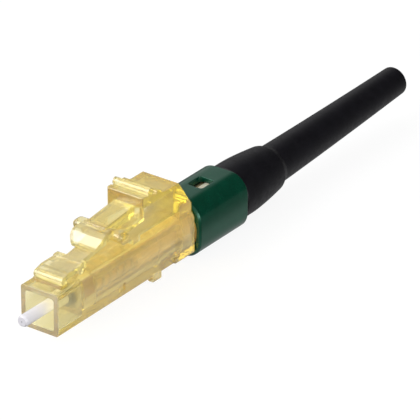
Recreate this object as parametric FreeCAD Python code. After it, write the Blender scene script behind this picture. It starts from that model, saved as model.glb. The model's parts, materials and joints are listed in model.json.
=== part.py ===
import FreeCAD, Part
import math
import os

# Field-installable LC fibre connector with a cam-locked mechanical splice, in millimetres.
# The origin is on the ferrule's axis, in the plane of the nose front.
# X goes across, Y runs back to the boot, and Z is up, on the latch side.

Vector = FreeCAD.Vector

# Fits
slide_gap = 0.06          # radial gap of pieces that slide or turn in one another
snap_gap = 0.02           # gap of pieces that are snapped or pressed in place
hinge_gap = 0.04          # gap round the rolled roots of the latch and the trigger
touch_gap = 0.07          # between the tip of the trigger and the tail of the latch
end_gap = 0.1             # between the housing, the cam collar and the boot, end to end

# Plug nose and body
plug_side = 4.5           # the standard square section
plug_edge = 0.25          # rounding of its long edges
nose_wall = 0.5
cavity_depth = 4.0        # open shroud round the ferrule
cavity_edge = 0.3
stop_wall = 0.6           # wall that the ferrule flange is pushed against
hex_seat = 1.7            # length of the hexagonal seat behind the stop wall
bore_r = 1.8              # spring chamber
flare = 0.7               # length over which the body widens to its rear rim
rear_side = 4.9
rear_edge = 0.9
rear_rim = 2.3            # length of the rear rim
foot_length = 1.15        # small feet under the body, as low as the cam collar
foot_width = 0.9
foot_round = 0.3
foot_setback = 3.35       # from the middle of a foot to the rear rim
rail_depth = 0.2          # guide rails low on the sides, at the rear
rail_height = 0.6
rail_length = 3.2
mark_size = 0.9           # shallow square recess low on each side
mark_depth = 0.15
mark_y = 10.2
mark_z = -1.25

# Latch
latch_half = 1.72
latch_root_y = 1.75
latch_root_r = 0.42
latch_lift = 0.7          # axis of the rolled root over the top of the plug
latch_seat = 0.3          # the boss under the root ends this far below the axis
latch_boss = 0.5          # and reaches this far before and behind it
latch_plate = 0.6
latch_rise = 0.23         # how far the plate climbs behind the root
latch_length = 3.45       # from the axis to the rear lip
latch_lip = 0.18
lip_length = 0.75
lug_width = 0.5
lug_drop = 0.4            # the lugs hang this far under the plate
tail_half = 1.0
tail_plate = 0.55
tail_drop = 0.2           # top of the tail under the top of the plate
tail_length = 4.1
tail_rise = 0.65

# Trigger, along the body from its tip to its root
tip_gap = 1.58            # from the lip of the latch to the toe of the tip
tip_lean = 0.45           # how far the tip leans back over its height
tip_reach = 2.22          # from the toe to the wings
wing_length = 1.5
arm_lead = 0.15           # the arm begins this far before the wings
arm_length = 4.6          # from the front of the wings to the pad
pad_length = 5.9
lip_run = 0.75
ramp_length = 4.0         # the pad falls from its front lip over this length
ramp_step = 0.1           # from the lip down to the head of that slope
ridge_steps = (1.35, 2.7)
ridge_heights = (0.78, 0.36)
ridge_r = 0.42
stop_setback = 1.6        # the stop feet under the cheeks begin this far before the pad
stop_length = 1.2
root_gap = 0.15           # between the pad and the block that carries it
root_run = 0.95           # from the front of the block to the axis of the root
root_setback = 0.2        # from the back of the block to the end of the rim
trigger_root_r = 0.25
slit = 0.3                # mouth of the slit between the block and the trigger

# Trigger, heights
trigger_lift = 1.55       # axis of the root over the rear rim
back_height = 0.6         # upright back of the block, under the axis
skirt_lift = 1.05         # bottom of the skirt over the top of the plug
wing_lift = 1.95          # bottom of the wings over the top of the plug
wing_height = 1.0
tip_rise = 0.22           # top of the tip over the wings
tip_shoulder = 0.7        # widest part of the tip under its top
arm_step = 0.16           # front of the arm over the tip
arm_climb = 0.52          # rise of the arm on its way to the pad
arm_rise = 1.15           # height of the arm over the cheeks beside it
pad_step = 0.33           # flat end of the pad over the arm
lip_rise = 0.72           # front lip over the flat end
tip_plate = 0.6
cheek_plate = 0.5
pad_plate = 0.6
stop_drop = 0.6

# Trigger, widths and rounds
tip_half = 1.9
tip_foot_half = 1.3
tip_foot_round = 0.5
tip_round = 0.8
tip_bend = 2.0            # the tip turns down over the latch in this round
wing_half = 3.08
wing_round = 0.48
arm_half = 1.2
pad_half = 2.2
pad_edge = 0.2            # rounding of the pad's upright edges
skirt_wall = 0.55

# Ferrule, its flange and the fibre
ferrule_r = 0.625
ferrule_seat_r = 0.45     # inside the flange
ferrule_length = 7.4
ferrule_out = 2.75        # how far the tip stands before the nose
tip_chamfer = 0.14
fibre_r = 0.0625
flange_grip = 1.2
flange_neck_r = 1.0
flange_chamfer = 0.1
hex_flats = 2.9
hex_length = 1.6
spigot_r = 0.8
spigot_gap = 0.47         # between the ferrule and the holder's spigot behind it

# Spring and retainer
wire_r = 0.15
spring_turns = 5.5
spring_length = 6.78
retainer_rim = 1.0
retainer_rim_r = 2.05
retainer_setback = 0.5    # from the retainer to the end of the rim
bead_height = 0.12        # snap bead round the retainer
bead_width = 0.3
bead_setback = 3.5        # from the front of the retainer to the bead

# Ferrule holder and splice
shank_r = 1.05
holder_flange = 0.6
holder_flange_r = 2.6
holder_r = 2.4
neck_r = 1.4
neck_length = 4.2
barb_height = 0.15
barb_length = 1.3
barb_count = 2
fibre_hole_r = 0.16
pocket_wall = 0.4         # between the flange and the pocket of the splice
pocket_length = 5.6
splice_half = 0.72
base_depth = 1.0
base_top = 0.03
groove_depth = 0.13
splice_open = 0.2         # gap between the splice halves before they are locked
keel_shoulder = 1.85
keel_ridge_half = 0.3

# Cam collar
cam_side = 6.2
cam_corner = 2.1
cam_length = 8.3
cam_edge = 0.2            # chamfer round both ends
cam_lead = 0.3            # the collar begins this far before the holder's flange
cam_play = 0.05           # end play of the collar on the holder
cam_offset = 0.15         # eccentric relief that frees the keel
keel_clear = 0.07         # gap left above the keel in the relief
window_width = 1.8
window_length = 2.2
window_shift = 0.2        # from the middle of the splice to the middle of the window
window_corner = 0.3

# Lead-in tube, crimp tube and boot
lead_in_r = 0.9
lead_in_bore_r = 0.475
lead_in_wall = 0.3        # between the pocket of the splice and the tube
lead_in_tail = 0.8        # the tube reaches this far out of the crimp tube
lead_in_funnel = 0.3      # widened mouth that the fibre is led into
crimp_wall = 0.3
crimp_gap = 0.75          # between the neck of the holder and the crimp tube
crimp_length = 5.0
crimp_groove = 0.08
crimp_grooves = 2
boot_front_r = 3.05
boot_chamfer = 0.2
bell_straight = 2.0
bell_length = 7.55
bell_end_r = 2.58
bell_step = 0.85          # from the bell to the tail
tail_start_r = 2.16
boot_tail = 22.55
boot_end_r = 1.62
boot_lip = 0.3            # chamfer at its end
cable_r = 0.55
cable_chamfer = 0.12

# Heights that follow
plug_half = plug_side / 2
rear_half = rear_side / 2
cam_half = cam_side / 2
latch_root_z = plug_half + latch_lift
plate_top = latch_root_z + latch_root_r + latch_rise
plate_bottom = plate_top - latch_plate
tail_root_z = plate_top - tail_drop
tail_end_z = tail_root_z + tail_rise
trigger_root_z = rear_half + trigger_lift
back_z = trigger_root_z - back_height
skirt_bottom = plug_half + skirt_lift
wing_bottom = plug_half + wing_lift
wing_top = wing_bottom + wing_height
tip_top = wing_top + tip_rise
tip_shoulder_z = tip_top - tip_shoulder
arm_front_z = tip_top + arm_step
arm_rear_z = arm_front_z + arm_climb
pad_top = arm_rear_z + pad_step
lip_z = pad_top + lip_rise
cam_bore_r = holder_r + slide_gap
keel_top = cam_bore_r + cam_offset - keel_clear
keel_bottom = base_top + splice_open
spring_r = (shank_r + bore_r) / 2
retainer_r = bore_r - snap_gap
bead_r = bore_r + bead_height
barb_r = neck_r + barb_height
crimp_r = lead_in_r + crimp_wall

# Stations along the axis that follow
latch_end = latch_root_y + latch_length
tail_end = latch_end + tail_length
tip_front = latch_end + tip_gap
wing_front = tip_front + tip_reach
wing_back = wing_front + wing_length
arm_front = wing_front - arm_lead
pad_front = wing_front + arm_length
ramp_end = pad_front + ramp_length
stop_y = pad_front - stop_setback
body_end = pad_front + pad_length
rear_end = body_end + rear_rim
foot_y = body_end - foot_setback
root_front = body_end + root_gap
root_rear = rear_end - root_setback
trigger_root_y = root_front + root_run
wall_y = cavity_depth + stop_wall
seat_end = wall_y + hex_seat
hex_start = wall_y + snap_gap
hex_end = hex_start + hex_length
ferrule_end = ferrule_length - ferrule_out
flange_front = ferrule_end - flange_grip
spigot_start = ferrule_end + spigot_gap
retainer_front = hex_end + spring_length
retainer_end = rear_end - retainer_setback
bead_y = retainer_front + bead_setback
cam_front = rear_end + end_gap
cam_end = cam_front + cam_length
holder_flange_y = cam_front + cam_lead
pocket_front = holder_flange_y + holder_flange + pocket_wall
pocket_end = pocket_front + pocket_length
splice_length = pocket_length - 2 * snap_gap
splice_mid = (pocket_front + pocket_end) / 2
window_y = splice_mid + window_shift
lead_in_start = pocket_end + lead_in_wall
holder_end = cam_end + cam_play
neck_end = holder_end + neck_length
crimp_start = neck_end + crimp_gap
crimp_end = crimp_start + crimp_length
lead_in_end = crimp_end + lead_in_tail
boot_start = holder_end + end_gap
bell_end = boot_start + bell_length
tail_start = bell_end + bell_step
boot_end = tail_start + boot_tail


def side(u, v):
    return Vector(0, u, v)


def front(u, v):
    return Vector(u, 0, v)


def plan(u, v):
    return Vector(u, v, 0)


def outline(corners, view):
    """Closed wire through corners (u, v, radius), drawn in a view; a radius rounds its corner."""
    spans = []
    for i, (u, v, r) in enumerate(corners):
        here = Vector(u, v, 0)
        if r == 0:
            spans.append((here, here, here))
            continue
        last = corners[i - 1]
        following = corners[(i + 1) % len(corners)]
        back = (Vector(last[0], last[1], 0) - here).normalize()
        ahead = (Vector(following[0], following[1], 0) - here).normalize()
        half = back.getAngle(ahead) / 2
        inward = (back + ahead).normalize()
        run = r / math.tan(half)
        crown = here + inward * (r / math.sin(half) - r)
        spans.append((here + back * run, crown, here + ahead * run))
    edges = []
    for i, (start, crown, stop) in enumerate(spans):
        start_next = spans[(i + 1) % len(spans)][0]
        if corners[i][2] > 0:
            points = [view(p.x, p.y) for p in (start, crown, stop)]
            edges.append(Part.Arc(*points).toShape())
        if stop.distanceToPoint(start_next) > 1e-6:
            edges.append(Part.makeLine(view(stop.x, stop.y), view(start_next.x, start_next.y)))
    return Part.Wire(edges)


def pushed(corners, view, start, run):
    face = Part.Face(outline(corners, view))
    face.translate(start)
    return face.extrude(run)


def across(corners, half_width):
    """Side-view outline (y, z, radius) pushed across X, the same to both sides."""
    return pushed(corners, side, Vector(-half_width, 0, 0), Vector(2 * half_width, 0, 0))


def along(corners, y0, y1):
    """Front-view outline (x, z, radius) pushed along Y."""
    return pushed(corners, front, Vector(0, y0, 0), Vector(0, y1 - y0, 0))


def upright(corners, z0, z1):
    """Plan outline (x, y, radius) pushed along Z."""
    return pushed(corners, plan, Vector(0, 0, z0), Vector(0, 0, z1 - z0))


def turned(corners):
    """Profile (radius from the axis, y, corner radius) turned about the ferrule's axis."""
    return Part.Face(outline(corners, plan)).revolve(Vector(0, 0, 0), Vector(0, 1, 0), 360)


def rod(r, y0, y1, z=0):
    return Part.makeCylinder(r, y1 - y0, Vector(0, y0, z), Vector(0, 1, 0))


def cross_rod(r, y, z, half_width):
    return Part.makeCylinder(r, 2 * half_width, Vector(-half_width, y, z), Vector(1, 0, 0))


def rectangle(u0, u1, v0, v1, r=0):
    return [(u0, v0, r), (u1, v0, r), (u1, v1, r), (u0, v1, r)]


def square(half, r):
    return rectangle(-half, half, -half, half, r)


def hexagon(flats):
    reach = flats / math.sqrt(3)
    turns = [math.radians(60 * i) for i in range(6)]
    return [(reach * math.cos(t), reach * math.sin(t), 0) for t in turns]


def mirrored(shape):
    """The shape and its mirror image on the other side of X = 0."""
    return [shape, shape.mirror(Vector(0, 0, 0), Vector(1, 0, 0))]


def plug_housing():
    """Nose, body and rear rim with all that stands on them, then the hollows and the hinge troughs."""
    flare_start = body_end - flare
    wires = []
    for half, r, y in ((plug_half, plug_edge, flare_start), (rear_half, rear_edge, body_end)):
        wire = outline(square(half, r), front)
        wire.translate(Vector(0, y, 0))
        wires.append(wire)
    body = along(square(plug_half, plug_edge), 0, flare_start)
    rim = along(square(rear_half, rear_edge), body_end, rear_end)
    added = [Part.makeLoft(wires, True, True), rim, latch_boss_block(), trigger_block()]
    foot_solid = along(rectangle(0, foot_width, -cam_half, 0, foot_round), 0, foot_length)
    foot_solid.translate(Vector(plug_half - plug_edge / 2 - foot_width, foot_y - foot_length / 2, 0))
    rail = rectangle(0, plug_half + rail_depth, -plug_half + plug_edge / 2, -plug_half + rail_height)
    rail_solid = along(rail, rear_end - rail_length, rear_end)
    added += mirrored(foot_solid) + mirrored(rail_solid)
    mark_solid = across(square(mark_size / 2, 0), mark_depth)
    mark_solid.translate(Vector(plug_half, mark_y, mark_z))
    cavity = square(plug_half - nose_wall, cavity_edge)
    removed = [
        along(cavity, 0, cavity_depth),
        rod(flange_neck_r + slide_gap, cavity_depth, wall_y),
        along(hexagon(hex_flats + 2 * slide_gap), wall_y, seat_end),
        rod(bore_r, seat_end, rear_end),
        rod(retainer_rim_r + snap_gap, retainer_end - retainer_rim - snap_gap, rear_end),
        rod(bead_r + snap_gap, bead_y - snap_gap, bead_y + bead_width + snap_gap),
        cross_rod(latch_root_r + hinge_gap, latch_root_y, latch_root_z, latch_half),
        cross_rod(trigger_root_r + hinge_gap, trigger_root_y, trigger_root_z, pad_half),
    ]
    return body.multiFuse(added).cut(removed + mirrored(mark_solid)).removeSplitter()


def latch_boss_block():
    """Boss on the nose that the root of the latch rolls on."""
    y0 = latch_root_y - latch_boss
    y1 = latch_root_y + latch_boss
    return across(rectangle(y0, y1, plug_half - nose_wall / 2, latch_root_z - latch_seat), latch_half)


def trigger_slope(z):
    """Y of the sloping back of the trigger at height z."""
    return root_rear + (body_end - root_rear) * (z - back_z) / (pad_top - back_z)


def trigger_block():
    """Block on the rear rim that carries the trigger."""
    top = trigger_root_z - hinge_gap
    return across([
        (root_front, plug_half - nose_wall / 2, 0),
        (root_rear, plug_half - nose_wall / 2, 0),
        (root_rear, back_z, 0),
        (trigger_slope(top), top, 0),
        (trigger_root_y, top, 0),
        (root_front, top - slit / 2, 0),
    ], pad_half)


def latch_arm():
    """Rolled root, plate with a raised rear lip, two hooked lugs and the tail under the trigger's tip."""
    root = cross_rod(latch_root_r, latch_root_y, latch_root_z, latch_half)
    lip_start = latch_end - lip_length
    plate = across([
        (latch_root_y, latch_root_z, 0),
        (latch_root_y, latch_root_z + latch_root_r, 0),
        (latch_root_y + 2 * latch_root_r, plate_top, 0.6),
        (lip_start, plate_top, 0),
        (lip_start, plate_top + latch_lip, 0.08),
        (latch_end, plate_top + latch_lip, 0.12),
        (latch_end, plate_bottom, 0),
        (latch_root_y + 2 * latch_root_r, plate_bottom, 0.4),
    ], latch_half)
    lug_bottom = plate_bottom - lug_drop
    lug = across([
        (latch_end - 4 * lug_drop, plate_bottom + latch_plate / 4, 0),
        (latch_end - 2.3 * lug_drop, lug_bottom, 0.1),
        (latch_end - 1.6 * lug_drop, lug_bottom, 0.1),
        (latch_end, plate_bottom + latch_plate / 2, 0),
    ], lug_width / 2)
    lug.translate(Vector(latch_half - lug_width / 2, 0, 0))
    tail = across([
        (latch_end - lip_length, tail_root_z - tail_plate, 0),
        (latch_end, tail_root_z - tail_plate, 0.8),
        (tail_end, tail_end_z - tail_plate, 0.2),
        (tail_end, tail_end_z, 0.2),
        (latch_end, tail_root_z, 0),
        (latch_end - lip_length, tail_root_z, 0),
    ], tail_half)
    return root.multiFuse([plate, tail] + mirrored(lug)).removeSplitter()


def carved(from_above, from_side, from_front):
    """Solid with the given outlines, as seen from above, from the side and from the front."""
    far = 2 * boot_end
    return upright(from_above, -far, far).common(across(from_side, far)).common(along(from_front, -far, far))


def tail_z(y):
    """Height of the top of the latch's tail."""
    return tail_root_z + (tail_end_z - tail_root_z) * (y - latch_end) / (tail_end - latch_end)


def arm_z(y):
    """Height of the top of the trigger's arm."""
    return arm_front_z + (arm_rear_z - arm_front_z) * (y - arm_front) / (pad_front - arm_front)


def trigger_tip():
    """Tip of the trigger, a plate bent down like a tongue until its toe rests just over the latch's tail."""
    toe_z = tail_z(tip_front) + touch_gap
    rear = wing_front + wing_round
    from_side = [
        (tip_front, toe_z, 0.1),
        (tip_front + tip_lean, tip_top, tip_bend),
        (rear, tip_top, 0),
        (rear, tail_z(rear) + touch_gap, 0),
    ]
    from_front = [
        (-tip_foot_half, toe_z, tip_foot_round),
        (tip_foot_half, toe_z, tip_foot_round),
        (tip_half, tip_shoulder_z, tip_round),
        (tip_half, tip_top, 0.3),
        (-tip_half, tip_top, 0.3),
        (-tip_half, tip_shoulder_z, tip_round),
    ]
    from_above = rectangle(-tip_half, tip_half, tip_front, rear + tip_round, tip_round)
    hollow = across([
        (tip_front + tip_plate, 0, 0),
        (tip_front + tip_plate, toe_z, 0),
        (tip_front + tip_plate + tip_lean, tip_top - tip_plate, tip_bend - tip_plate),
        (wing_front, tip_top - tip_plate, 0),
        (wing_front, 0, 0),
    ], tip_half)
    return carved(from_above, from_side, from_front).cut(hollow)


def trigger_wings():
    """Wings that stand out to both sides of the arm, rounded all over."""
    bar = upright(rectangle(-wing_half, wing_half, wing_front, wing_back), wing_bottom, wing_top)
    return bar.makeFillet(wing_round, bar.Edges)


def trigger_arm():
    """Arm from the pad to the wings, raised over two cheeks with stop feet under them."""
    rear = pad_front + skirt_wall
    cheek_front = wing_back - wing_round
    arm = across([
        (arm_front, arm_z(arm_front) - arm_rise, 0),
        (arm_front, arm_z(arm_front), 0.1),
        (rear, arm_z(rear), 0),
        (rear, arm_z(rear) - arm_rise, 0),
    ], arm_half)
    cheeks = across([
        (cheek_front, skirt_bottom + wing_round, 0.2),
        (cheek_front + wing_round, skirt_bottom, 0.2),
        (stop_y, skirt_bottom, 0),
        (stop_y, skirt_bottom - stop_drop, 0.1),
        (stop_y + stop_length, skirt_bottom - stop_drop, 0.1),
        (stop_y + stop_length, skirt_bottom, 0),
        (rear, skirt_bottom, 0),
        (rear, arm_z(rear) - arm_rise, 0),
        (cheek_front, arm_z(cheek_front) - arm_rise, 0),
    ], pad_half)
    hollow = across([
        (wing_back, 0, 0),
        (wing_back, arm_z(wing_back) - arm_rise - cheek_plate, 0),
        (rear, arm_z(rear) - arm_rise - cheek_plate, 0),
        (rear, 0, 0),
    ], pad_half - skirt_wall)
    return arm.fuse(cheeks.cut(hollow))


def trigger_lever():
    """Hollow finger pad with cross ridges, a sloping back and a rolled root, and the arm before it."""
    ramp_start = pad_front + lip_run
    ramp_top = lip_z - ramp_step
    back_foot = trigger_root_z + hinge_gap
    pad = across([
        (pad_front, skirt_bottom, 0),
        (pad_front, lip_z, 0.2),
        (ramp_start, lip_z, 0.1),
        (ramp_start, ramp_top, 0),
        (ramp_end, pad_top, 0),
        (body_end, pad_top, 0),
        (trigger_slope(back_foot), back_foot, 0),
        (trigger_root_y, back_foot, 0),
        (root_front, trigger_root_z + slit / 2, 0),
        (body_end, trigger_root_z + slit / 2, 0),
        (body_end, skirt_bottom, 0),
    ], pad_half)
    added = [cross_rod(trigger_root_r, trigger_root_y, trigger_root_z, pad_half)]
    for step, height in zip(ridge_steps, ridge_heights):
        y = pad_front + step
        ramp_z = ramp_top + (pad_top - ramp_top) * (y - ramp_start) / (ramp_end - ramp_start)
        added.append(cross_rod(ridge_r, y, ramp_z + height - ridge_r, pad_half))
    pad = pad.multiFuse(added).common(
        upright(rectangle(-pad_half, pad_half, pad_front, boot_end, pad_edge), 0, 2 * lip_z))
    inner_half = pad_half - skirt_wall
    mouth_top = arm_z(pad_front) - arm_rise - cheek_plate
    pad = pad.cut([
        across(rectangle(pad_front + skirt_wall, body_end - skirt_wall, 0, pad_top - pad_plate), inner_half),
        across(rectangle(pad_front, pad_front + skirt_wall, 0, mouth_top), inner_half),
    ])
    return pad.multiFuse([trigger_arm(), trigger_wings(), trigger_tip()]).removeSplitter()


def spring_retainer():
    """Sleeve that backs the spring and guides the shank, with a snap bead and a rear rim."""
    bore = shank_r + slide_gap
    return turned([
        (bore, retainer_front, 0),
        (retainer_r, retainer_front, 0),
        (retainer_r, bead_y, 0),
        (bead_r, bead_y, 0),
        (bead_r, bead_y + bead_width, 0),
        (retainer_r, bead_y + bead_width, 0),
        (retainer_r, retainer_end - retainer_rim, 0),
        (retainer_rim_r, retainer_end - retainer_rim, 0),
        (retainer_rim_r, retainer_end, 0),
        (bore, retainer_end, 0),
    ])


def coil_spring():
    """Coil that pushes the ferrule forward; its wire has a six-sided section."""
    start = hex_end + wire_r
    height = retainer_front - wire_r - start
    helix = Part.makeHelix(height / spring_turns, height, spring_r)
    section = outline([(spring_r + u, v, r) for u, v, r in hexagon(math.sqrt(3) * wire_r)], front)
    coil = Part.Wire(helix).makePipeShell([section], True, True)
    coil.rotate(Vector(0, 0, 0), Vector(1, 0, 0), -90)
    coil.translate(Vector(0, start, 0))
    return coil


def ferrule():
    """Ceramic rod with a chamfered tip, stepped down where the flange holds it."""
    return turned([
        (fibre_r, -ferrule_out, 0),
        (ferrule_r - tip_chamfer, -ferrule_out, 0),
        (ferrule_r, -ferrule_out + 2 * tip_chamfer, 0.2),
        (ferrule_r, flange_front, 0),
        (ferrule_seat_r, flange_front, 0),
        (ferrule_seat_r, ferrule_end, 0),
        (fibre_r, ferrule_end, 0),
    ])


def fibre_stub():
    return rod(fibre_r, -ferrule_out, splice_mid)


def ferrule_flange():
    neck = turned([
        (ferrule_seat_r, flange_front, 0),
        (flange_neck_r - flange_chamfer, flange_front, 0),
        (flange_neck_r, flange_front + flange_chamfer, 0),
        (flange_neck_r, hex_start, 0),
        (ferrule_seat_r, hex_start, 0),
    ])
    hexed = along(hexagon(hex_flats), hex_start, hex_end)
    socket = rod(spigot_r, spigot_start, hex_end)
    seat = rod(ferrule_seat_r, flange_front, ferrule_end)
    through = rod(fibre_hole_r, flange_front, hex_end)
    return neck.fuse(hexed).cut([socket, seat, through]).removeSplitter()


def ferrule_holder():
    """Shank through the spring, splice body with its open pocket, and barbed neck for the boot."""
    body = turned([
        (fibre_hole_r, spigot_start, 0),
        (spigot_r, spigot_start, 0),
        (spigot_r, hex_end, 0),
        (shank_r, hex_end, 0),
        (shank_r, holder_flange_y, 0),
        (holder_flange_r, holder_flange_y, 0),
        (holder_flange_r, holder_flange_y + holder_flange, 0),
        (holder_r, holder_flange_y + holder_flange, 0),
        (holder_r, holder_end, 0),
        (neck_r, holder_end, 0),
        (neck_r, neck_end, 0),
        (fibre_hole_r, neck_end, 0),
    ])
    barbs = []
    for i in range(barb_count):
        y = holder_end + (i + 0.5) * neck_length / barb_count - barb_length / 2
        barbs.append(turned([
            (neck_r - barb_height, y, 0),
            (barb_r, y, 0),
            (neck_r, y + barb_length, 0),
            (neck_r - barb_height, y + barb_length, 0),
        ]))
    pocket_half = splice_half + snap_gap
    pocket = rectangle(-pocket_half, pocket_half, -base_depth, 2 * holder_r)
    return body.multiFuse(barbs).cut([
        along(pocket, pocket_front, pocket_end),
        rod(lead_in_r, lead_in_start, neck_end),
    ]).removeSplitter()


def splice_base():
    groove = base_top + groove_depth
    corners = rectangle(-splice_half, splice_half, -base_depth, base_top)
    corners[3:3] = [(groove, base_top, 0), (0, base_top - groove, 0), (-groove, base_top, 0)]
    return along(corners, splice_mid - splice_length / 2, splice_mid + splice_length / 2)


def splice_keel():
    """Wedge over the groove, with the ridge that the cam collar presses."""
    return along([
        (-splice_half, keel_bottom, 0),
        (splice_half, keel_bottom, 0),
        (splice_half, keel_shoulder, 0.15),
        (keel_ridge_half, keel_shoulder, 0.08),
        (keel_ridge_half, keel_top, 0.08),
        (-keel_ridge_half, keel_top, 0.08),
        (-keel_ridge_half, keel_shoulder, 0.08),
        (-splice_half, keel_shoulder, 0.15),
    ], splice_mid - splice_length / 2, splice_mid + splice_length / 2)


def cam_collar():
    """Rounded-square collar, with the eccentric relief inside and the window above the keel."""
    collar = along(square(cam_half, cam_corner), cam_front, cam_end)
    ends = [edge for edge in collar.Edges if abs(edge.CenterOfMass.y - edge.Vertexes[0].Point.y) < 1e-6]
    collar = collar.makeChamfer(cam_edge, ends)
    x = window_width / 2
    window = rectangle(-x, x, window_y - window_length / 2, window_y + window_length / 2, window_corner)
    flange_end = holder_flange_y + holder_flange + slide_gap
    return collar.cut([
        rod(cam_bore_r, cam_front, cam_end),
        rod(cam_bore_r, pocket_front - slide_gap, pocket_end + slide_gap, cam_offset),
        rod(holder_flange_r + slide_gap, cam_front, flange_end),
        upright(window, 0, cam_side),
    ]).removeSplitter()


def lead_in_tube():
    return turned([
        (lead_in_bore_r, lead_in_start, 0),
        (lead_in_r, lead_in_start, 0),
        (lead_in_r, lead_in_end, 0),
        (lead_in_r - lead_in_funnel, lead_in_end, 0),
        (lead_in_bore_r, lead_in_end - lead_in_funnel, 0),
    ])


def crimp_tube():
    tube = turned([
        (lead_in_r, crimp_start, 0),
        (crimp_r, crimp_start, 0),
        (crimp_r, crimp_end, 0),
        (lead_in_r, crimp_end, 0),
    ])
    step = crimp_length / (crimp_grooves + 1)
    cuts = []
    for i in range(crimp_grooves):
        y = crimp_start + (i + 1) * step
        ring = rod(crimp_r + crimp_groove, y - step / 4, y + step / 4)
        cuts.append(ring.cut(rod(crimp_r - crimp_groove, y - step / 4, y + step / 4)))
    return tube.cut(cuts)


def boot():
    """Rubber strain relief: bell over the barbed neck, then a slender tapering tail."""
    crimp_room = crimp_r + slide_gap
    return turned([
        (barb_r, boot_start, 0),
        (boot_front_r - boot_chamfer, boot_start, 0),
        (boot_front_r, boot_start + boot_chamfer, 0),
        (boot_front_r, boot_start + bell_straight, 0),
        (bell_end_r, bell_end, 0.9),
        (tail_start_r, tail_start, 0.5),
        (boot_end_r, boot_end - boot_lip, 0),
        (boot_end_r - boot_lip, boot_end, 0),
        (cable_r + cable_chamfer, boot_end, 0),
        (cable_r, boot_end - cable_chamfer, 0),
        (cable_r, lead_in_end + crimp_room, 0),
        (crimp_room, lead_in_end + slide_gap, 0),
        (crimp_room, neck_end + slide_gap, 0),
        (barb_r, neck_end + slide_gap, 0),
    ])


builders = (
    plug_housing, latch_arm, trigger_lever, ferrule, fibre_stub, ferrule_flange, ferrule_holder, splice_base,
    splice_keel, coil_spring, spring_retainer, cam_collar, lead_in_tube, crimp_tube, boot,
)

os.makedirs("parts", exist_ok=True)
for build in builders:
    build().exportStep(f"parts/{build.__name__}.step")
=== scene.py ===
import json
import math

import bmesh
import bpy
from mathutils import Matrix, Vector


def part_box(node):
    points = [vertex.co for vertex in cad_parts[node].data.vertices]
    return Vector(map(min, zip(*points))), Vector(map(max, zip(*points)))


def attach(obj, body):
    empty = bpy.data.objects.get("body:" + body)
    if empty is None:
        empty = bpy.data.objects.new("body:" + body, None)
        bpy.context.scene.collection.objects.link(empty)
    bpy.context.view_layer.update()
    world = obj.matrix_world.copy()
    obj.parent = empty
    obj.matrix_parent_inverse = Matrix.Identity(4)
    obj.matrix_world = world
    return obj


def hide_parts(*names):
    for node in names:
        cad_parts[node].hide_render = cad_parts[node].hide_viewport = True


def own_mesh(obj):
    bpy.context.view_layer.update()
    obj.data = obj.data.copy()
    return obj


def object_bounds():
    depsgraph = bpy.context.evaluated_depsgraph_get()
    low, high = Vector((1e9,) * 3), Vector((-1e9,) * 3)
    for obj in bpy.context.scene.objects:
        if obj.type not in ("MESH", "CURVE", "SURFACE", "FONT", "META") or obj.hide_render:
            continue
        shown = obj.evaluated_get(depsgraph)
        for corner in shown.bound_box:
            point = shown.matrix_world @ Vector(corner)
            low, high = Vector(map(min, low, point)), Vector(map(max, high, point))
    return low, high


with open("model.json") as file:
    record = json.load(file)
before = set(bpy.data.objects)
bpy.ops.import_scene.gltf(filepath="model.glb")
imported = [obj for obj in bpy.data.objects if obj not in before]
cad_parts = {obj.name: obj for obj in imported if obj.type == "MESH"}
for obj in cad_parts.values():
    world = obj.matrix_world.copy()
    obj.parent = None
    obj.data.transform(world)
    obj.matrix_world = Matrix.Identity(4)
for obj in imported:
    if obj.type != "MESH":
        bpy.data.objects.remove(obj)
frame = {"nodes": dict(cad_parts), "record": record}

cad_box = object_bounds()
nodes = frame["nodes"]
MM = 0.001

# Camera, fitted to the photograph with the square nose as the scale (lens and sensor in millimetres)
AZIMUTH = math.radians(36.266)
ELEVATION = math.radians(27.421)
CAMERA_DISTANCE = 403.18 * MM
LENS, SENSOR = 342.86, 36
CLIP_START, CLIP_END = 0.01, 10
AIM = Vector((0, 25, 0)) * MM
AIM_RIGHT = 1.636 * MM
AIM_UP = 0.426 * MM
CLEAR_BOUNCES = 24            # enough for rays through all the walls of the clear plastic

# Lamps: direction from the object, distance and side in metres, watts
LAMPS = {
    "key": ((-0.53, -0.62, 0.58), 0.35, 0.27, 0.85),
    "side_fill": ((0.9, -0.38, 0.12), 0.40, 0.30, 1.15),
    "back_fill": ((-0.9, 0.2, 0.55), 0.40, 0.20, 0.2),
}

# Floor: half its side in metres, and the painted pool of light along the object, which only gloss
# sees, in millimetres
FLOOR_HALF = 0.6
FLOOR_GREY, FLOOR_GLOW = 0.16, 0.89
# Painted pool of light: where it starts to fade and ends, and its glow near the object and far out
PAINTED_POOL_EDGE = (5.6, 8.4)
PAINTED_POOL_GLOW = (0.45, 0.02)

# White room with one dark flag, which the rounded corner of the collar reflects
ROOM_LIGHT = 0.45
ROOM_WHITE = (0.97, 0.98, 1, 1)
FLAG = (0.36, 0.72, 0.59)
FLAG_EDGE = (34, 56)          # degrees from the middle of the flag
SKY_GLOSS, FLAG_GLOSS = 0.62, 0.03

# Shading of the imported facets
WELD = 0.0005 * MM
REAL_EDGE = math.radians(28)

# Noise: the range that its values keep to, then scales per millimetre and details
NOISE_LOW, NOISE_HIGH = 0.3, 0.7
FLOW, FLOW_STRETCH = (1.8, 4), (1, 0.15, 1)
FLOW_GLOSS = (1.7, 3)
RIPPLE = (2.5, 2)
CLOUD = (0.8, 5)
CLOUD_GLOSS = (2.2, 3)
GRAIN = (14, 2)
TOOL_MARKS = (12, 4)

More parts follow.
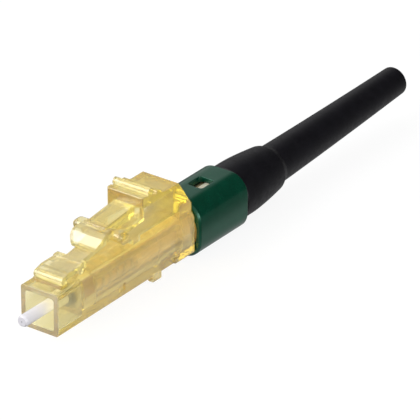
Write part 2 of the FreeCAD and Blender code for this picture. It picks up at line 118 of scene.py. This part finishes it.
# Amber: tones as dark and pale colours, and per material the places along the axis, in millimetres,
# between which the tone changes and the plastic turns from one clearness to another
STRAW = ((0.79, 0.74, 0.50), (0.91, 0.88, 0.74))
HONEY = ((0.82, 0.71, 0.41), (0.92, 0.84, 0.60))
GOLD = ((0.79, 0.71, 0.31), (0.90, 0.84, 0.49))
TONES = {"body_amber": (3.0, 6.0, HONEY), "clear_amber": (13.5, 18.0, GOLD)}
HAZES = {
    "body_amber": ((0.02, 0.3, 0.6, 0.88), (3.0, 4.4, 0.88, 0.70)),
    "clear_amber": ((8.6, 9.6, 0.79, 0.84),),
}
CLEAR = 0.84
AMBER_ROUGH = (0.07, 0.13)
AMBER_DEPTH, AMBER_EDGE = 0.004, 0.08
AMBER_TINT, AMBER_SHADOW = (0.92, 0.83, 0.04, 1), (0.97, 0.96, 0.90, 1)

# Metal: brass tones, and depth of the tool marks and softness of the edges in millimetres
BRASS = ((0.66, 0.50, 0.24), (0.78, 0.62, 0.34))
METAL_DEPTH, METAL_EDGE = 0.004, 0.05

# Boot: profile in millimetres behind its front, and how far the soft tail bends up
BOOT_ROUND, BOOT_ROUND_STEPS = 0.22, 6
LIP, LIP_R = 0.1, 2.5
BELL_STRAIGHT = 2.0
BELL_END, BELL_END_R = 6.8, 2.61
BELL_POWER, BELL_STEPS = 1.5, 14
TAIL_START, TAIL_START_R = 8.0, 2.155
STEP_EASE, STEP_STEPS = 0.9, 8
TAIL_END_R, TAIL_STEPS = 1.62, 40
TAIL_ROUND, TAIL_ROUND_STEPS = 0.24, 8
CABLE_R, CABLE_RUN = 0.55, 8
MOUTH_ROUND, MOUTH_STEPS = 0.12, 4
SOCKET_R, SOCKET_DEPTH = 1.55, 3.96
CRIMP_R, CRIMP_DEPTH, CRIMP_CONE = 1.26, 10.56, 1.2
BEND_START = 1.5
BEND_RISE = 0.99
BEND_POWER = 1.45
BEND_TIP = 0.07               # the bent boot is this much shorter, to stay inside the CAD box
BOOT_SIDES = 96

# Spring: round wire in millimetres, with one closed turn at each end
WIRE_R = 0.15
WIRE_SIDES = 12
ACTIVE_TURNS = 5
CLOSED_PITCH = 0.315
TURN_STEPS = 48


# Node tree helpers, for materials and the world

def new_material(name, **sockets):
    material = bpy.data.materials.new(name)
    material.use_nodes = True
    shader = material.node_tree.nodes["Principled BSDF"]
    for socket, value in sockets.items():
        shader.inputs[socket.replace("_", " ")].default_value = value
    return material, shader


def add(material, kind, **values):
    """New node; each value is set on the socket of that name, or else on the node itself."""
    node = material.node_tree.nodes.new(kind)
    for key, value in values.items():
        if key in node.inputs:
            node.inputs[key].default_value = value
        else:
            setattr(node, key, value)
    return node


def link(material, source, target):
    material.node_tree.links.new(source, target)


def object_coordinates(material, stretch=(1, 1, 1)):
    """Object coordinates in millimetres; a factor below 1 draws the pattern out along its axis."""
    place = add(material, "ShaderNodeTexCoord")
    scale = add(material, "ShaderNodeMapping", Scale=[s / MM for s in stretch])
    link(material, place.outputs["Object"], scale.inputs["Vector"])
    return scale.outputs["Vector"]


def noise(material, vector, scale, detail):
    node = add(material, "ShaderNodeTexNoise", Scale=scale, Detail=detail)
    link(material, vector, node.inputs["Vector"])
    return node.outputs["Fac"]


def mapped(material, value, start, end, low, high, interpolation="LINEAR"):
    """A value that goes from low to high while another goes from start to end."""
    node = add(material, "ShaderNodeMapRange", interpolation_type=interpolation)
    limits = {"From Min": start, "From Max": end, "To Min": low, "To Max": high}
    for socket, limit in limits.items():
        node.inputs[socket].default_value = limit
    link(material, value, node.inputs["Value"])
    return node.outputs["Result"]


def spread(material, value, low, high):
    """A noise value spread from low to high over its usual range."""
    return mapped(material, value, NOISE_LOW, NOISE_HIGH, low, high)


def two_tone(material, value, dark, pale):
    node = add(material, "ShaderNodeValToRGB")
    ends = node.color_ramp.elements
    for end, position, colour in ((ends[0], NOISE_LOW, dark), (ends[1], NOISE_HIGH, pale)):
        end.position = position
        end.color = (*colour, 1)
    link(material, value, node.inputs["Fac"])
    return node.outputs["Color"]


def along_y(material, start, end, low=0.0, high=1.0):
    """A value that eases from low to high between two places along the axis, in millimetres."""
    parted = add(material, "ShaderNodeSeparateXYZ")
    link(material, object_coordinates(material), parted.inputs["Vector"])
    return mapped(material, parted.outputs["Y"], start, end, low, high, "SMOOTHSTEP")


def combined(material, operation, first, second):
    node = add(material, "ShaderNodeMath", operation=operation)
    link(material, first, node.inputs[0])
    link(material, second, node.inputs[1])
    return node.outputs["Value"]


def blended(material, factor, first, second):
    """Colour that goes from the first to the second."""
    node = add(material, "ShaderNodeMixRGB")
    link(material, factor, node.inputs["Fac"])
    link(material, first, node.inputs["Color1"])
    link(material, second, node.inputs["Color2"])
    return node.outputs["Color"]


def either_shader(material, factor, first, second):
    """The first shader where the factor is 0, the second where it is 1."""
    node = add(material, "ShaderNodeMixShader")
    link(material, factor, node.inputs["Fac"])
    link(material, first, node.inputs[1])
    link(material, second, node.inputs[2])
    return node.outputs["Shader"]


def surface(material, shader, height, depth, edge=0.0):
    """Bump of a real depth in millimetres, over edges softened by a radius in millimetres."""
    bump = add(material, "ShaderNodeBump", Strength=1.0, Distance=depth * MM)
    link(material, height, bump.inputs["Height"])
    if edge:
        soft = add(material, "ShaderNodeBevel", samples=6, Radius=edge * MM)
        link(material, soft.outputs["Normal"], bump.inputs["Normal"])
    link(material, bump.outputs["Normal"], shader.inputs["Normal"])


# Materials

def clear_amber(name):
    """Clear plastic with tones along the axis: gloss over a hazy body that deepens with thickness.

    The clearness is linked, and its socket also holds CLEAR, which the export reads there.
    """
    material, shader = new_material(
        name, IOR=1.58, Transmission_Weight=CLEAR, Coat_Weight=0.8, Coat_Roughness=0.08,
    )
    vector = object_coordinates(material, FLOW_STRETCH)
    flow = noise(material, vector, *FLOW)
    tone_start, tone_end, tone = TONES[name]
    colour = blended(
        material, along_y(material, tone_start, tone_end),
        two_tone(material, flow, *STRAW), two_tone(material, flow, *tone),
    )
    link(material, colour, shader.inputs["Base Color"])
    clear, *more = [along_y(material, *haze) for haze in HAZES[name]]
    for haze in more:
        clear = combined(material, "MINIMUM", clear, haze)
    link(material, clear, shader.inputs["Transmission Weight"])
    gloss = spread(material, noise(material, vector, *FLOW_GLOSS), *AMBER_ROUGH)
    link(material, gloss, shader.inputs["Roughness"])
    ripple = noise(material, object_coordinates(material), *RIPPLE)
    surface(material, shader, ripple, AMBER_DEPTH, AMBER_EDGE)
    tint = add(material, "ShaderNodeVolumeAbsorption", Density=460.0, Color=AMBER_TINT)
    output = material.node_tree.nodes["Material Output"]
    link(material, tint.outputs["Volume"], output.inputs["Volume"])
    rays = add(material, "ShaderNodeLightPath")
    open_to_lamps = add(material, "ShaderNodeBsdfTransparent", Color=AMBER_SHADOW)
    shown = either_shader(
        material, rays.outputs["Is Shadow Ray"], shader.outputs["BSDF"], open_to_lamps.outputs["BSDF"],
    )
    link(material, shown, output.inputs["Surface"])
    return material


def moulded(name, dark, pale, rough, grain, edge, **sockets):
    """Moulded plastic, rubber or ceramic: cloudy colour, patchy gloss and a fine skin."""
    material, shader = new_material(name, **sockets)
    vector = object_coordinates(material)
    colour = two_tone(material, noise(material, vector, *CLOUD), dark, pale)
    link(material, colour, shader.inputs["Base Color"])
    gloss = spread(material, noise(material, vector, *CLOUD_GLOSS), *rough)
    link(material, gloss, shader.inputs["Roughness"])
    surface(material, shader, noise(material, vector, *GRAIN), grain, edge)
    return material


def turned_metal(name, dark, pale, rough, stretch, brass_from=None):
    """Bare metal with fine tool or drawing marks, left as brass behind a place along the axis."""
    material, shader = new_material(name, Metallic=1.0)
    lines = noise(material, object_coordinates(material, stretch), *TOOL_MARKS)
    colour = two_tone(material, lines, dark, pale)
    if brass_from:
        brass = two_tone(material, lines, *BRASS)
        colour = blended(material, along_y(material, *brass_from), colour, brass)
    link(material, colour, shader.inputs["Base Color"])
    link(material, spread(material, lines, *rough), shader.inputs["Roughness"])
    surface(material, shader, lines, METAL_DEPTH, METAL_EDGE)
    return material


looks = {
    "amber_plastic": clear_amber("clear_amber"),
    "ceramic": moulded(
        "white_zirconia", dark=(0.85, 0.83, 0.89), pale=(0.90, 0.88, 0.93),
        rough=(0.16, 0.24), grain=0.001, edge=0.05,
        Subsurface_Weight=0.1, Subsurface_Radius=(0.0004, 0.0004, 0.0004),
    ),
    "fibre_glass": moulded(
        "fibre_glass", dark=(0.80, 0.84, 0.88), pale=(0.88, 0.91, 0.94),
        rough=(0.05, 0.1), grain=0.0004, edge=0.0,
        Transmission_Weight=0.6, IOR=1.46,
    ),
    # Dark in front of the brass: partly the metal's own colour, partly painted shade of the nose's
    # cavity
    "dark_metal": turned_metal(
        "nickel_with_painted_shade", dark=(0.16, 0.155, 0.15), pale=(0.28, 0.27, 0.25),
        rough=(0.3, 0.45), stretch=(1, 6, 1), brass_from=(4.3, 4.8),
    ),
    "spring_steel": turned_metal(
        "spring_wire", dark=(0.66, 0.62, 0.54), pale=(0.80, 0.76, 0.68),
        rough=(0.22, 0.4), stretch=(4, 4, 4),
    ),
    "crimp_metal": turned_metal(
        "crimp_metal", dark=(0.45, 0.44, 0.42), pale=(0.60, 0.59, 0.57),
        rough=(0.28, 0.42), stretch=(1, 6, 1),
    ),
    "ivory_plastic": moulded(
        "ivory_plastic", dark=(0.78, 0.62, 0.34), pale=(0.86, 0.71, 0.44),
        rough=(0.35, 0.5), grain=0.004, edge=0.06,
    ),
    "keel_plastic": moulded(
        "keel_plastic", dark=(0.74, 0.69, 0.52), pale=(0.82, 0.78, 0.62),
        rough=(0.3, 0.45), grain=0.004, edge=0.08,
    ),
    "green_plastic": moulded(
        "dark_green_plastic", dark=(0.001, 0.040, 0.021), pale=(0.0015, 0.052, 0.028),
        rough=(0.16, 0.24), grain=0.003, edge=0.14,
        Specular_IOR_Level=0.9, Specular_Tint=(0.5, 1.0, 0.78, 1),
    ),
    "tube_plastic": moulded(
        "natural_tube", dark=(0.72, 0.72, 0.70), pale=(0.82, 0.82, 0.80),
        rough=(0.4, 0.55), grain=0.004, edge=0.05,
    ),
    "boot_rubber": moulded(
        "black_rubber", dark=(0.0046, 0.0042, 0.0062), pale=(0.0072, 0.0066, 0.0096),
        rough=(0.42, 0.55), grain=0.006, edge=0.0,
        Specular_IOR_Level=0.3,
    ),
}


def shade_by_angle():
    """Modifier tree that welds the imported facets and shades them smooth, apart from real edges."""
    tree = bpy.data.node_groups.new("shade_by_angle", "GeometryNodeTree")
    for in_out in ("INPUT", "OUTPUT"):
        tree.interface.new_socket("Geometry", in_out=in_out, socket_type="NodeSocketGeometry")
    start = tree.nodes.new("NodeGroupInput")
    weld = tree.nodes.new("GeometryNodeMergeByDistance")
    weld.inputs["Distance"].default_value = WELD
    angle = tree.nodes.new("GeometryNodeInputMeshEdgeAngle")
    real = tree.nodes.new("FunctionNodeCompare")
    real.inputs[1].default_value = REAL_EDGE
    faces = tree.nodes.new("GeometryNodeSetShadeSmooth")
    edges = tree.nodes.new("GeometryNodeSetShadeSmooth")
    edges.domain = "EDGE"
    edges.inputs["Shade Smooth"].default_value = False
    end = tree.nodes.new("NodeGroupOutput")
    tree.links.new(start.outputs[0], weld.inputs["Geometry"])
    tree.links.new(weld.outputs["Geometry"], faces.inputs["Geometry"])
    tree.links.new(faces.outputs["Geometry"], edges.inputs["Geometry"])
    tree.links.new(angle.outputs["Unsigned Angle"], real.inputs[0])
    tree.links.new(real.outputs["Result"], edges.inputs["Selection"])
    tree.links.new(edges.outputs["Geometry"], end.inputs[0])
    return tree


# CAD nodes: the look of their slot, with a tone of its own for the housing

shading = shade_by_angle()
for subpart in frame["record"]["subparts"]:
    cad = nodes[subpart["node"]]
    cad.data.materials.clear()
    cad.data.materials.append(looks[subpart["material_slot"]])
    cad.modifiers.new("shade", "NODES").node_group = shading
nodes["plug_housing"].data.materials[0] = clear_amber("body_amber")


# Pieces made here

def new_ring(mesh, centre, radius, first, second, sides):
    """Ring of vertices round a centre, in the plane of two unit vectors, in millimetres."""
    ring = []
    for k in range(sides):
        turn = 2 * math.pi * k / sides
        spoke = first * math.cos(turn) + second * math.sin(turn)
        ring.append(mesh.verts.new((centre + spoke * radius) * MM))
    return ring


def skin(mesh, rings):
    """Faces from each ring of vertices to the next."""
    for a, b in zip(rings, rings[1:]):
        for k in range(len(a)):
            n = (k + 1) % len(a)
            mesh.faces.new((a[k], b[k], b[n], a[n]))


def new_piece(name, mesh, slot):
    """Object of a finished mesh, with the look of a slot."""
    bmesh.ops.recalc_face_normals(mesh, faces=mesh.faces)
    data = bpy.data.meshes.new(name)
    mesh.to_mesh(data)
    mesh.free()
    data.materials.append(looks[slot])
    piece = bpy.data.objects.new(name, data)
    bpy.context.scene.collection.objects.link(piece)
    piece.modifiers.new("shade", "NODES").node_group = shading
    return piece


def between(start, end, t, s):
    """Profile point (along, radius) at share t of the way along and share s of the radius."""
    return start[0] + (end[0] - start[0]) * t, start[1] + (end[1] - start[1]) * s


def arc(centre, radius, start, end, steps):
    """Profile points on an arc, angles in degrees from straight back towards outward."""
    turns = [math.radians(start + (end - start) * i / steps) for i in range(steps + 1)]
    return [(centre[0] + radius * math.cos(t), centre[1] + radius * math.sin(t)) for t in turns]


def boot_profile(length, front_r):
    """(along, radius) in millimetres from the socket's front edge over the outside to its inside."""
    points = [(0.0, SOCKET_R), (0.0, LIP_R), (-LIP, LIP_R)]
    points += arc(
        (BOOT_ROUND - LIP, front_r - BOOT_ROUND), BOOT_ROUND, 180, 90, BOOT_ROUND_STEPS,
    )
    bell_start, bell_end = (BELL_STRAIGHT, front_r), (BELL_END, BELL_END_R)
    for i in range(BELL_STEPS + 1):
        t = i / BELL_STEPS
        points.append(between(bell_start, bell_end, t, t ** BELL_POWER))
    tail_start, tail_end = (TAIL_START, TAIL_START_R), (length - TAIL_ROUND, TAIL_END_R)
    for i in range(1, STEP_STEPS):
        t = i / STEP_STEPS
        smooth = t * t * (3 - 2 * t)
        points.append(between(bell_end, tail_start, t, STEP_EASE * smooth + (1 - STEP_EASE) * t))
    for i in range(TAIL_STEPS + 1):
        t = i / TAIL_STEPS
        points.append(between(tail_start, tail_end, t, t))
    points += arc(
        (length - TAIL_ROUND, TAIL_END_R - TAIL_ROUND), TAIL_ROUND, 90, 0, TAIL_ROUND_STEPS,
    )[1:]
    points += arc(
        (length - MOUTH_ROUND, CABLE_R + MOUTH_ROUND), MOUTH_ROUND, 0, -90, MOUTH_STEPS,
    )
    points += [
        (length - CABLE_RUN, CABLE_R), (CRIMP_DEPTH + CRIMP_CONE, CABLE_R), (CRIMP_DEPTH, CRIMP_R),
        (SOCKET_DEPTH, CRIMP_R), (SOCKET_DEPTH, SOCKET_R),
    ]
    return points


def boot_line(along, length):
    """How far the axis has risen at a place along the boot, and its slope there."""
    span = length - BEND_START
    t = max(0.0, (along - BEND_START) / span)
    return BEND_RISE * t ** BEND_POWER, BEND_RISE * BEND_POWER * t ** (BEND_POWER - 1) / span


def make_boot():
    """Bent rubber boot; the room inside for the neck and the crimp tube stays straight."""
    low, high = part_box("boot")
    length = (high.y - low.y) / MM - BEND_TIP
    mesh = bmesh.new()
    rings = []
    for along, radius in boot_profile(length, high.x / MM):
        straight = radius <= SOCKET_R and along <= CRIMP_DEPTH
        rise, slope = (0.0, 0.0) if straight else boot_line(along, length)
        centre = Vector((0, low.y / MM + along, rise))
        up = Matrix.Rotation(math.atan(slope), 3, "X") @ Vector((0, 0, 1))
        rings.append(new_ring(mesh, centre, radius, Vector((1, 0, 0)), up, BOOT_SIDES))
    skin(mesh, rings + rings[:1])
    piece = new_piece("rubber_boot", mesh, "boot_rubber")
    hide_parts("boot")
    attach(piece, "carrier")


def coil_line(height):
    """(turns, along) of the coil in millimetres: close turns at the ends, open ones between."""
    open_pitch = (height - 2 * CLOSED_PITCH) / ACTIVE_TURNS
    points = []
    for i in range((ACTIVE_TURNS + 2) * TURN_STEPS + 1):
        turns = i / TURN_STEPS
        opened = min(max(turns - 1, 0), ACTIVE_TURNS)
        points.append((turns, opened * open_pitch + (turns - opened) * CLOSED_PITCH))
    return points


def make_spring():
    """Coil of round wire, with closed turns at its ends, in the space of the CAD spring."""
    low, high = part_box("coil_spring")
    radius = high.x / MM - WIRE_R
    height = (high.y - low.y) / MM - 2 * WIRE_R
    mesh = bmesh.new()
    rings = []
    for turns, along in coil_line(height):
        angle = 2 * math.pi * turns
        spoke = Vector((math.cos(angle), 0, math.sin(angle)))
        centre = spoke * radius + Vector((0, low.y / MM + WIRE_R + along, 0))
        rings.append(new_ring(mesh, centre, WIRE_R, spoke, Vector((0, 1, 0)), WIRE_SIDES))
    skin(mesh, rings)
    mesh.faces.new(rings[0])
    mesh.faces.new(rings[-1])
    piece = new_piece("coil_wire", mesh, "spring_steel")
    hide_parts("coil_spring")
    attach(piece, "housing")
    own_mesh(piece)


make_boot()
make_spring()


# Floor, world, lamps and camera

def white_floor():
    """Pale floor that the camera and clear pieces see as white, but for the object's shadow.

    Glossy pieces see a painted pool of light on it, a pale strip along the object, and it can be seen
    through from below.
    """
    material = bpy.data.materials.new("white_floor")
    material.use_nodes = True
    tree = material.node_tree
    tree.nodes.remove(tree.nodes["Principled BSDF"])
    matt = add(material, "ShaderNodeBsdfDiffuse", Color=(FLOOR_GREY, FLOOR_GREY, FLOOR_GREY, 1))
    glow = add(material, "ShaderNodeEmission", Strength=FLOOR_GLOW)
    unlit = add(material, "ShaderNodeEmission", Strength=0.0)
    below = add(material, "ShaderNodeBsdfTransparent")
    rays = add(material, "ShaderNodeLightPath")
    place = add(material, "ShaderNodeNewGeometry")
    parted = add(material, "ShaderNodeSeparateXYZ")
    link(material, place.outputs["Position"], parted.inputs["Vector"])
    aside = add(material, "ShaderNodeMath", operation="ABSOLUTE")
    link(material, parted.outputs["X"], aside.inputs[0])
    edges = [edge * MM for edge in PAINTED_POOL_EDGE]
    # Painted pool of light: glossy rays see the floor glow near the object, fading to dark away from
    # it
    painted_pool = mapped(material, aside.outputs["Value"], *edges, *PAINTED_POOL_GLOW, "SMOOTHSTEP")
    painted_pool_in_gloss = combined(material, "MULTIPLY", painted_pool, rays.outputs["Is Glossy Ray"])
    seen = rays.outputs["Is Camera Ray"]
    for kind in (rays.outputs["Is Transmission Ray"], painted_pool_in_gloss):
        seen = combined(material, "MAXIMUM", seen, kind)
    lift = either_shader(material, seen, unlit.outputs["Emission"], glow.outputs["Emission"])
    total = add(material, "ShaderNodeAddShader")
    link(material, matt.outputs["BSDF"], total.inputs[0])
    link(material, lift, total.inputs[1])
    shown = either_shader(
        material, place.outputs["Backfacing"], total.outputs["Shader"], below.outputs["BSDF"],
    )
    link(material, shown, tree.nodes["Material Output"].inputs["Surface"])
    return material


def add_floor():
    corners = ((-1, -1), (1, -1), (1, 1), (-1, 1))
    height = cad_box[0].z
    mesh = bpy.data.meshes.new("floor")
    mesh.from_pydata(
        [(x * FLOOR_HALF, y * FLOOR_HALF + AIM.y, height) for x, y in corners], [], [(0, 1, 2, 3)],
    )
    mesh.materials.append(white_floor())
    floor = bpy.data.objects.new("floor", mesh)
    bpy.context.scene.collection.objects.link(floor)


def add_world():
    """Room that is white to the camera and through clear pieces, and has the flag in gloss."""
    world = bpy.data.worlds.new("studio")
    bpy.context.scene.world = world
    world.use_nodes = True
    ambient = world.node_tree.nodes["Background"]
    ambient.inputs["Color"].default_value = (1, 1, 1, 1)
    ambient.inputs["Strength"].default_value = ROOM_LIGHT
    room = add(world, "ShaderNodeBackground", Strength=1.0, Color=ROOM_WHITE)
    reflected = add(world, "ShaderNodeBackground")
    rays = add(world, "ShaderNodeLightPath")
    sky = add(world, "ShaderNodeTexCoord")
    toward = add(world, "ShaderNodeVectorMath", operation="DOT_PRODUCT")
    toward.inputs[1].default_value = Vector(FLAG).normalized()
    link(world, sky.outputs["Generated"], toward.inputs[0])
    inner, outer = (math.cos(math.radians(edge)) for edge in FLAG_EDGE)
    gloss = mapped(world, toward.outputs["Value"], outer, inner, SKY_GLOSS, FLAG_GLOSS, "SMOOTHSTEP")
    link(world, gloss, reflected.inputs["Strength"])
    lit = either_shader(
        world, rays.outputs["Is Glossy Ray"], ambient.outputs["Background"],
        reflected.outputs["Background"],
    )
    seen = combined(
        world, "MAXIMUM", rays.outputs["Is Camera Ray"], rays.outputs["Is Transmission Ray"],
    )
    shown = either_shader(world, seen, lit, room.outputs["Background"])
    link(world, shown, world.node_tree.nodes["World Output"].inputs["Surface"])


def add_lamp(name, direction, distance, side, watts):
    data = bpy.data.lights.new(name, "AREA")
    data.shape = "SQUARE"
    data.size = side
    data.energy = watts
    lamp = bpy.data.objects.new(name, data)
    bpy.context.scene.collection.objects.link(lamp)
    away = Vector(direction).normalized()
    lamp.location = AIM + away * distance
    lamp.rotation_mode = "QUATERNION"
    lamp.rotation_quaternion = away.to_track_quat("Z", "Y")


def add_camera():
    data = bpy.data.cameras.new("camera")
    data.sensor_width = SENSOR
    data.lens = LENS
    data.clip_start, data.clip_end = CLIP_START, CLIP_END
    camera = bpy.data.objects.new("camera", data)
    bpy.context.scene.collection.objects.link(camera)
    level = math.cos(ELEVATION)
    back = Vector((math.sin(AZIMUTH) * level, -math.cos(AZIMUTH) * level, math.sin(ELEVATION)))
    right = Vector((math.cos(AZIMUTH), math.sin(AZIMUTH), 0))
    up = back.cross(right)
    camera.location = AIM + right * AIM_RIGHT + up * AIM_UP + back * CAMERA_DISTANCE
    camera.rotation_mode = "QUATERNION"
    camera.rotation_quaternion = back.to_track_quat("Z", "Y")
    bpy.context.scene.camera = camera


add_floor()
add_world()
for lamp_name, lamp_values in LAMPS.items():
    add_lamp(lamp_name, *lamp_values)
add_camera()
bpy.context.scene.view_settings.view_transform = "Standard"
for limit in ("max_bounces", "glossy_bounces", "transmission_bounces", "transparent_max_bounces"):
    setattr(bpy.context.scene.cycles, limit, CLEAR_BOUNCES)
